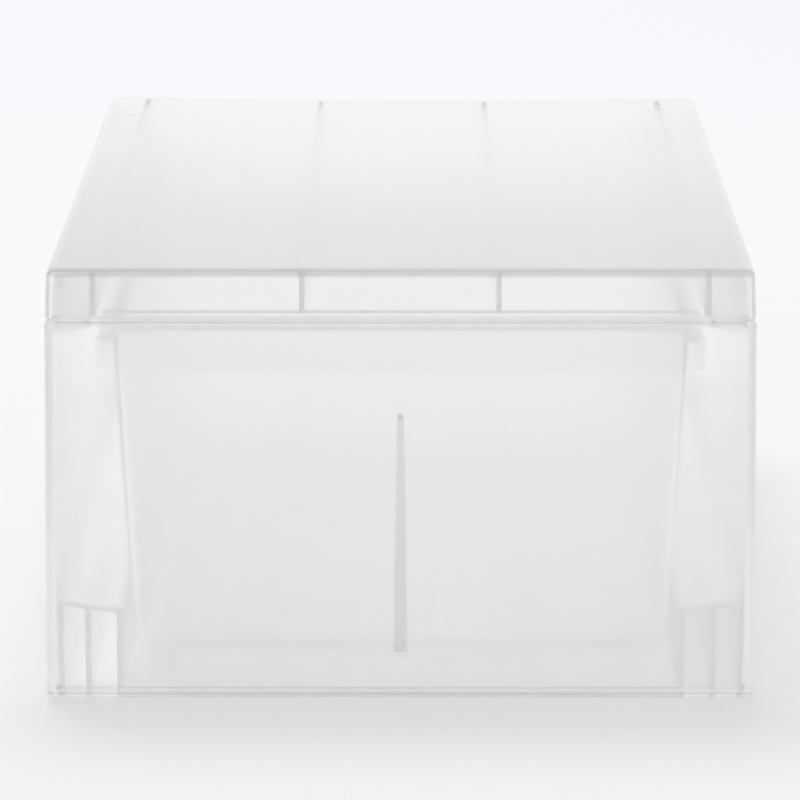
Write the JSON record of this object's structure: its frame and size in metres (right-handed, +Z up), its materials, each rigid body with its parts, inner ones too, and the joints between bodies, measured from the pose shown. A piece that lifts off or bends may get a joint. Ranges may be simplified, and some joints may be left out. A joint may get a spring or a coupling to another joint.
{
  "type": "shoe box",
  "caption": "Stackable see-through shoe box: a snap-together clear plastic case with a full-width front drawer that slides out to load shoes.",
  "frame": {"origin": "centre of the footprint, on the surface the box stands on", "axes": "+Z up, the drawer front faces -Y and the drawer slides out along -Y, +X to the right as seen from the front"},
  "size_m": [0.2376, 0.355, 0.1475],
  "materials": {
    "case_plastic": "frosted, see-through, faint cloudiness",
    "tub_plastic": "frosted, see-through",
    "front_plastic": "polished, nearly clear"
  },
  "bodies": {
    "case": {"case_top": "case_plastic", "case_side_left": "case_plastic", "case_side_right": "case_plastic", "case_back": "case_plastic", "case_base": "case_plastic"},
    "drawer": {"drawer_tub": "tub_plastic", "drawer_front": "front_plastic"}
  },
  "joints": [
    {"name": "drawer_slide", "type": "slide", "parent": "case", "child": "drawer", "axis": [0, -1, 0], "range_m": [0, 0.3]}
  ]
}
